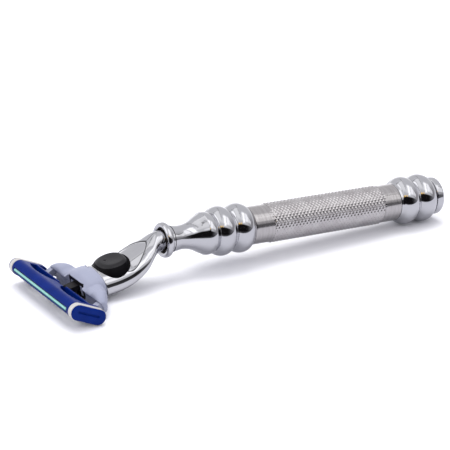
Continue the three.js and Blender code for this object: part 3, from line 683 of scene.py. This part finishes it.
def release_button():
    count = 160
    levels = spline(BUTTON, 70)
    rings = []
    for z, x, length, width in levels:
        flat = oval(length, width, BUTTON_POWER, count)
        rings.append(np.stack([x + flat[:, 0], flat[:, 1], np.full(count, z)], axis=1))
    top = rings[-1]
    centre = top.mean(axis=0)
    for share in np.linspace(0.96, 0.02, 34):
        ring = centre + (top - centre) * share
        ring[:, 2] += 0.03 * (1 - share) - 0.16 * (1 - share ** 2) ** 2
        rings.append(ring)
    points = np.array(rings)
    shape = points.shape
    points = points.reshape(-1, 3)
    x, y, radius = BUTTON_DIMPLE
    away = np.hypot(points[:, 0] - x, points[:, 1] - y)
    points[:, 2] -= np.where(points[:, 2] > 4.2, DIMPLE_DEEP * np.exp(-(away / radius) ** 2), 0)
    turn = np.array(NOSE.to_3x3())
    world = points @ turn.T + np.array(NOSE_ORIGIN)
    seat = np.stack([world[:, 0], world[:, 1], adapter_top(world[:, 0], world[:, 1])], axis=1)
    lowest = dished(seat)[0][:, 2] + SEAT_GAP
    world[:, 2] = np.maximum(world[:, 2], lowest)
    button = loft(world.reshape(shape))
    stem = block(4.9, 6.7, -1.5, 1.5, -0.3, 4.2)
    stem_world = np.asarray(stem[0], float) @ turn.T + np.array(NOSE_ORIGIN)
    thumb = piece("thumb_button", *together(button, (stem_world, stem[1])), RAZOR, button_plastic, "button",
                  ["release_button"], "button_plastic", crease=50)
    # Faces above FLAT_TOP get the lighter copy: a painted sheen on the top.
    thumb.data.materials.append(button_top_sheen)
    inverse = NOSE.inverted()
    for face in thumb.data.polygons:
        face.material_index = int((inverse @ (face.center / MM)).z > FLAT_TOP)


# ---------------------------------------------------------------- carrier


# Sections of the hood over the nose: x, height of the middle, half width and half height.
HOOD = [(-0.45, 0.1, 7.05, 4.05), (-0.9, 0.15, 7.15, 4.15), (-2.5, 0.42, 7.3, 4.1), (-5.0, 0.55, 7.6, 3.6),
        (-6.6, 0.35, 7.7, 2.9), (-7.3, 0.3, 7.6, 2.7), (-7.6, 0.3, 7.4, 2.5)]
# Sections of a wing, out to the pivot: distance from the middle, x, z, half length and half height.
WING = [(3.0, -4.1, 0.8, 3.2, 2.7), (6.5, -4.3, 0.45, 3.0, 2.25), (8.8, -4.5, 0.3, 2.8, 2.05),
        (10.6, -4.8, 0.7, 2.5, 2.3), (12.5, -5.2, 0.7, 2.2, 2.3), (14.5, -6.0, 0.45, 1.7, 2.2),
        (16.0, -6.4, 0.0, 1.4, 1.9), (16.4, -6.5, -0.1, 1.1, 1.5)]
ARM_NEAR, ARM_FAR = 14.0, 16.1            # faces of an arm, from the middle
ARM_REACH = Vector((3.8, 1.25))           # from the pivot to the arm's root
BOSS_R, PIN_R = 1.0, 0.7
SWEEP_R = 3.55                            # room for the cartridge's turning back edge


def hood():
    rings = []
    for x, z, half_width, half_height in spline(HOOD, 24):
        flat = oval(half_width, half_height, 2.5, 72)
        rings.append(np.stack([np.full(72, x), flat[:, 0], z + flat[:, 1]], axis=1))
    return loft(rings)


def wing():
    rings = []
    for y, x, z, half_length, half_height in spline(WING, 36):
        flat = oval(half_length, half_height, 2.6, 56)
        rings.append(np.stack([x + flat[:, 0], np.full(56, y), z + flat[:, 1]], axis=1))
    return loft(rings)


def pivot_arm(x, z):
    """Flat arm from the pivot at x and z back to the wing."""
    across = Vector((-ARM_REACH.y, ARM_REACH.x)).normalized() * BOSS_R
    return prism([(x + across.x, z + across.y), (x - across.x, z - across.y),
                  (x + ARM_REACH.x - across.x, z + ARM_REACH.y - across.y),
                  (x + ARM_REACH.x + across.x, z + ARM_REACH.y + across.y)], ARM_NEAR, ARM_FAR)


def carrier():
    x, z = PIVOT_IN_NOSE.x, PIVOT_IN_NOSE.z
    gap = 0.3
    apron = block(-7.4, -5.2, 2.0, 14.2, -2.6, 1.0)
    socket = block(-6.9, 1, -INSERT_HALF - gap, INSERT_HALF + gap, INSERT_Z[0] - gap, INSERT_Z[1] + gap)
    slot = block(-12, -6.6, -5.3, 5.3, 0, 6)
    notch = block(-1.3, 1, 1.6, 4.2, 2, 6)
    sweep = cross_pin(x, z, -30, 30, SWEEP_R, 96)
    moulded("carrier_yoke", [hood(), *both_sides(wing()), *both_sides(apron)], [sweep, socket, slot, notch],
            NOSE, 0.13, 5, grey_plastic, "carrier", ["carrier"])
    arms = [*both_sides(pivot_arm(x, z)), *both_sides(cross_pin(x, z, ARM_NEAR, ARM_FAR, BOSS_R)),
            *both_sides(cross_pin(x, z, 15.0, 17.6, PIN_R))]
    moulded("carrier_arms", arms, [], NOSE, 0.1, 2, grey_plastic, "carrier", [])


# ---------------------------------------------------------------- cartridge

DEPTH, THICK, HALF = 11.8, 4.8, 21.0
WEB_HALF, HOLLOW_END = 2.3, 16.8
FLOOR_Z, RIB_FRONT, RIB_REAR = 0.4, 0.9, 1.6
CLIP_NEAR, CLIP_FAR = 18.5, 20.3
STRIP_HALF = 16.9


def pill_bar():
    """The housing's outer form: a pill section with domed ends."""
    rings = []
    dome = 0.8
    for t in np.linspace(math.pi / 2, 0, 9):
        rings.append((-HALF + dome * (1 - math.sin(t)), dome * (1 - math.cos(t)) * 0.9))
    rings = rings + [(y, 0.0) for y in np.linspace(-HALF + dome + 0.5, HALF - dome - 0.5, 40)] \
        + [(-y, inset) for y, inset in reversed(rings)]
    skins = []
    for y, inset in rings:
        skins.append([(x, y, z) for x, z in pill(DEPTH - 2 * inset, THICK - 2 * inset)])
    return loft(skins)


def back_hollow():
    edge = spline([(-0.2, WEB_HALF), (-2.2, 4.8), (-3.1, 8.8), (-2.8, 13.0), (-1.4, HOLLOW_END)], 32)
    outline = [(RIB_FRONT, WEB_HALF), *[tuple(p) for p in edge], (RIB_FRONT, HOLLOW_END)]
    return column(outline, FLOOR_Z, 4)


def housing():
    slope = math.tan(math.radians(35))
    cam_high, past = 3.2, 0.3
    cam_half = WEB_HALF + 0.01
    cam = prism([(PIVOT_X - (cam_high - PIVOT_Z) / slope, cam_high), (PIVOT_X + past, PIVOT_Z - past * slope),
                 (9, PIVOT_Z - past * slope), (9, cam_high)], -cam_half, cam_half)
    rear = block(RIB_REAR, 9, -HOLLOW_END, HOLLOW_END, FLOOR_Z, 5)
    bay = block(-3.2, 1.7, -16.6, 16.6, -3, 0.1)
    bed = prism([(-7, 0), (-5.3, 0), (-3.55, -1.2), (-3.55, -3), (-7, -3)], -17.2, 17.2)
    guard = block(2.3, 4.75, -16.4, 16.4, -3, -1.95)
    windows = [block(-2.2, 0.7, y - 1.3, y + 1.3, -1, 3) for y in (-13.2, -9.6, -6.0, 6.0, 9.6, 13.2)]
    ring_out, ring_in = pill(DEPTH + 4, THICK + 4), pill(DEPTH - 0.7, THICK - 0.7)
    near, far = CLIP_NEAR - 0.12, CLIP_FAR + 0.12
    groove = band(ring_out, ring_in, near, far)
    ear = block(2.2, 9, 13.6, 16.4, -1.65, 5)
    hole = cross_pin(PIVOT_X, PIVOT_Z, 16, 18.1, 1.0)
    end_groove = block(-3.9, 3.4, HALF - 0.45, HALF + 1, 0.0, 0.55)
    cuts = [cam, rear, bay, bed, guard, *windows, *both_sides(groove), *both_sides(back_hollow()),
            *both_sides(ear), *both_sides(hole), *both_sides(end_groove)]
    moulded("cartridge_frame", [pill_bar()], cuts, CARTRIDGE, 0.11, 3, blue_plastic, "cartridge",
            ["housing"])


def band(outer, inner, y0, y1):
    """Ring with the two outlines, swept from y0 to y1."""
    count = len(outer)
    rings = [[(x, y, z) for x, z in outline] for outline, y in
             ((outer, y0), (outer, y1), (inner, y1), (inner, y0))]
    return np.array(rings).reshape(-1, 3), ring_faces(4, count, wrap_rings=True)


def clips():
    for side, name in ((1, "left"), (-1, "right")):
        lines = []
        for y, grow in ((CLIP_NEAR, -0.12), (CLIP_NEAR + 0.04, 0.0), (CLIP_NEAR + 0.14, 0.05),
                        (CLIP_FAR - 0.2, 0.0), (CLIP_FAR - 0.06, -0.08), (CLIP_FAR, -0.16)):
            lines.append([(x, side * y, z) for x, z in pill(DEPTH + 2 * grow, THICK + 2 * grow, 30)])
        for y in (CLIP_FAR, CLIP_NEAR):
            lines.append([(x, side * y, z) for x, z in pill(DEPTH - 0.5, THICK - 0.5, 30)])
        verts = np.array(lines).reshape(-1, 3)
        piece("band_" + name, verts, ring_faces(len(lines), len(lines[0]), wrap_rings=True), CARTRIDGE,
              clip_metal, "cartridge", ["clip_" + name], "clip_metal", crease=50)


def long_bar(section, half):
    """Section of (x, z) points swept across the cartridge, its ends slightly rounded off."""
    middle = np.mean(section, axis=0)
    rings = []
    ends = [(half, 0.86), (half - 0.06, 0.96), (half - 0.2, 1.0)]
    stations = [*[(-y, shrink) for y, shrink in ends], *[(y, 1.0) for y in range(-16, 17, 2)],
                *reversed(ends)]
    for y, shrink in stations:
        rings.append([(middle[0] + (x - middle[0]) * shrink, y, middle[1] + (z - middle[1]) * shrink)
                      for x, z in section])
    return loft(rings)


def lubricating_strip():
    front = spline([(-5.6, -0.25), (-5.77, -0.45), (-5.8, -0.75), (-5.74, -1.02), (-5.55, -1.12)], 16)
    section = [tuple(p) for p in front] + [(-4.2, -1.12), (-5.0, -0.7)]
    strip = piece("lubricating_bar", *long_bar(section, STRIP_HALF), CARTRIDGE, mint, "cartridge",
                  ["lubricating_strip"], "mint_strip", crease=45)
    # The strip's faces below z -0.82, where it curves under, get the darker teal: painted shade.
    strip.data.materials.append(strip_underside_shade)
    inverse = CARTRIDGE.inverted()
    for face in strip.data.polygons:
        place = inverse @ (face.center / MM)
        face.material_index = int(place.z < -0.82)
    lip = [(-5.6, -1.16), (-5.66, -1.3), (-5.5, -1.55), (-5.2, -1.7), (-4.0, -1.95), (-3.9, -1.6),
           (-4.1, -1.16)]
    piece("cap_lip", *long_bar(lip, STRIP_HALF), CARTRIDGE, blue_plastic, "cartridge", [], "blue_plastic",
          crease=45)


def guard():
    fins = []
    base = block(2.5, 4.55, -16.1, 16.1, -2.2, -2.03)
    root, tip = -2.15, -2.46
    for i in range(4):
        x = 2.7 + 0.5 * i
        for y in np.arange(-16.0, 16.0, 1.0):
            fins.append(prism([(x, root), (x + 0.28, root), (x + 0.2, tip), (x + 0.08, tip)], y, y + 0.82))
    piece("guard_comb", *together(base, *fins), CARTRIDGE, guard_rubber, "cartridge", ["guard_fins"],
          "guard_rubber", crease=30)


def blades():
    first, pitch, edge = -1.35, 1.45, -2.4
    rise, run, thick = 0.52, 1.15, 0.1
    for i in range(3):
        x = first + pitch * i
        outline = [(x, edge), (x - 0.07, edge + 0.038), (x - run, edge + rise),
                   (x - run, edge + rise + thick), (x - 0.24, edge + 0.2), (x - 0.12, edge + 0.12)]
        piece(f"ground_blade_{i + 1}", *prism(outline, -16.2, 16.2), CARTRIDGE, blade_steel, "cartridge",
              [f"blade_{i + 1}"], "blade_steel", crease=12)


def carried_over():
    """CAD nodes whose own shape is right get their finishes."""
    finishes = {"rear_washer": nylon, "front_washer": nylon, "collar_washer": nylon, "core_rod": plain_steel,
                "adapter_stud": plain_steel, "nose_screw": plain_steel, "return_spring": plain_steel,
                "neck_insert": brass, "nose_insert": black_plastic, "plunger": black_plastic,
                "ejector": grey_plastic}
    finishes.update({f"blade_support_{i + 1}": blade_steel for i in range(3)})
    for name, material in finishes.items():
        node = frame["nodes"][name]
        node.data.materials.clear()
        node.data.materials.append(material)


# ---------------------------------------------------------------- camera, floor and light

AZIMUTH, ELEVATION = math.radians(31.11), math.radians(21.49)
WANDER = 14               # degrees by which the room's edges stray, so that they look uneven
DISTANCE = 0.58515        # metres, as in LOOK_AT
LOOK_AT = Vector((-0.00823, 0.0, 0.0130))
LENS = 153.8


def camera():
    toward = Vector((math.sin(AZIMUTH) * math.cos(ELEVATION), math.cos(AZIMUTH) * math.cos(ELEVATION),
                     -math.sin(ELEVATION)))
    data = bpy.data.cameras.new("camera")
    data.lens = LENS
    data.sensor_width = 36
    data.clip_start = 0.01
    thing = bpy.data.objects.new("camera", data)
    thing.location = LOOK_AT - DISTANCE * toward
    thing.rotation_euler = toward.to_track_quat("-Z", "Y").to_euler()
    bpy.context.scene.collection.objects.link(thing)
    bpy.context.scene.camera = thing


def floor():
    made = bpy.data.materials.new("floor")
    made.use_nodes = True
    shader = made.node_tree.nodes["Principled BSDF"]
    shader.inputs["Roughness"].default_value = 0.6
    shader.inputs["Specular IOR Level"].default_value = 0.1
    # In reflections the pale sheet ends a hand's breadth in front of the razor.
    graph = Graph(made.node_tree)
    place = graph.nodes.new("ShaderNodeTexCoord")
    apart = graph.nodes.new("ShaderNodeSeparateXYZ")
    graph.links.new(place.outputs["Object"], apart.inputs[0])
    front = graph.value("ADD", graph.value("MULTIPLY", apart.outputs[0], -math.sin(AZIMUTH)),
                        graph.value("MULTIPLY", apart.outputs[1], -math.cos(AZIMUTH)))
    rays = graph.nodes.new("ShaderNodeLightPath")
    beyond = graph.value("MULTIPLY", graph.step(front, 0.09, 0.15), rays.outputs["Is Glossy Ray"])
    tone = graph.blend(rays.outputs["Is Glossy Ray"], (0.9, 0.9, 0.915), (0.58, 0.58, 0.605))
    tone = graph.blend(beyond, tone, (0.03, 0.03, 0.033))
    graph.links.new(tone, shader.inputs["Base Color"])
    mesh = bpy.data.meshes.new("floor")
    size = 4.0
    mesh.from_pydata([(-size, -size, 0), (size, -size, 0), (size, size, 0), (-size, size, 0)], [],
                     [(0, 1, 2, 3)])
    mesh.materials.append(made)
    thing = bpy.data.objects.new("floor", mesh)
    bpy.context.scene.collection.objects.link(thing)


ROOM_GREY, ROOM_SHADE = (0.76, 0.76, 0.79), (0.38, 0.37, 0.39)
# Soft boxes and the dark lines between them: span to the side, span of rise, softness, brightness.
SOFT_BOXES = [((-80, -38), (42, 112), 7, 1.7), ((-38, -12), (55, 122), 9, 1.15),
              ((-12, 4), (50, 76), 8, 1.1), ((5, 24), (42, 96), 6, 1.8), ((24, 47), (52, 100), 6, 1.5),
              ((47, 68), (56, 92), 3, 1.15), ((-24, 14), (170, 190), 8, 1.5)]
DARK_LINES = [((-40, -38.5), (44, 118), 1.0, 0.1), ((-60, -10), (119, 121), 1.2, 0.12),
              ((-11, -9.5), (62, 150), 1.0, 0.25), ((24, 25.5), (46, 98), 1.0, 0.2),
              ((40, 80), (94, 97), 1.0, 0.06)]


def area_light(name, place, target, size, power):
    data = bpy.data.lights.new(name, "AREA")
    data.shape = "RECTANGLE"
    data.size, data.size_y = size
    data.energy = power
    thing = bpy.data.objects.new(name, data)
    thing.location = place
    thing.rotation_euler = (Vector(target) - Vector(place)).to_track_quat("-Z", "Y").to_euler()
    thing.visible_glossy = False
    bpy.context.scene.collection.objects.link(thing)


def studio():
    """White surroundings for the camera and soft light; for reflections, a room with soft boxes.

    side is degrees to the camera's right, rise is degrees up from the horizon on the camera's
    side, over the top (90) and down behind the razor (180).
    """
    world = bpy.data.worlds.new("studio")
    bpy.context.scene.world = world
    world.use_nodes = True
    graph = Graph(world.node_tree)
    background = world.node_tree.nodes["Background"]
    place = graph.nodes.new("ShaderNodeTexCoord")
    ripple = graph.nodes.new("ShaderNodeTexNoise")
    ripple.inputs["Scale"].default_value = 5
    ripple.inputs["Detail"].default_value = 2
    graph.links.new(place.outputs["Generated"], ripple.inputs["Vector"])
    wander = graph.value("MULTIPLY", graph.value("SUBTRACT", ripple.outputs["Fac"], 0.5), WANDER)
    apart = graph.nodes.new("ShaderNodeSeparateXYZ")
    graph.links.new(place.outputs["Generated"], apart.inputs[0])
    x, y, z = apart.outputs
    right = graph.value("ADD", graph.value("MULTIPLY", x, math.cos(AZIMUTH)),
                        graph.value("MULTIPLY", y, -math.sin(AZIMUTH)))
    near = graph.value("ADD", graph.value("MULTIPLY", x, -math.sin(AZIMUTH)),
                       graph.value("MULTIPLY", y, -math.cos(AZIMUTH)))
    side = graph.value("MULTIPLY", graph.value("ARCSINE", right), 180 / math.pi)
    side = graph.value("ADD", side, wander)
    rise = graph.value("MULTIPLY", graph.value("ARCTAN2", z, near), 180 / math.pi)
    plain_rise = rise
    rise = graph.value("ADD", rise, wander)
    room = graph.blend(graph.step(side, 35, 75), ROOM_GREY, ROOM_SHADE)
    room = graph.blend(graph.patch(side, rise, (-90, 90), (165, 260), 8), room, (0.9, 0.9, 0.92))
    for sides, rises, soft, level in SOFT_BOXES + DARK_LINES:
        room = graph.blend(graph.patch(side, rise, sides, rises, soft), room, (level, level, level * 1.02))
    low = graph.window(plain_rise, -20, 33, 3)
    dim = graph.blend(graph.step(side, 30, 90), (0.008, 0.007, 0.008), (0.26, 0.26, 0.28))
    dim = graph.blend(graph.step(side, -36, -50), dim, (0.5, 0.5, 0.52))
    room = graph.blend(low, room, dim)
    room = graph.blend(graph.patch(side, plain_rise, (-31, -22), (30, 37), 1.5), room, (1.5, 0.95, 0.25))
    room = graph.blend(graph.patch(side, plain_rise, (-12, -4), (32, 39), 1.5), room, (1.5, 0.95, 0.25))
    rays = graph.nodes.new("ShaderNodeLightPath")
    seen = graph.blend(rays.outputs["Is Glossy Ray"], (1.0, 1.0, 1.07), room)
    seen = graph.blend(rays.outputs["Is Camera Ray"], seen, (1.0, 1.0, 1.0))
    graph.links.new(seen, background.inputs["Color"])


def lights():
    area_light("overhead", (0.05, 0.25, 0.9), (0, 0, 0), (0.8, 0.6), 6.0)
    area_light("side", (-0.7, -0.2, 0.5), (-0.03, 0, 0.01), (0.4, 0.4), 1.4)
    bpy.context.scene.view_settings.view_transform = "Standard"


camera()
floor()
studio()
lights()
pommel()
pommel_cap()
grip_sleeve()
ferrule()
neck_collar()
head_adapter()
release_button()
carrier()
housing()
clips()
lubricating_strip()
guard()
blades()
carried_over()
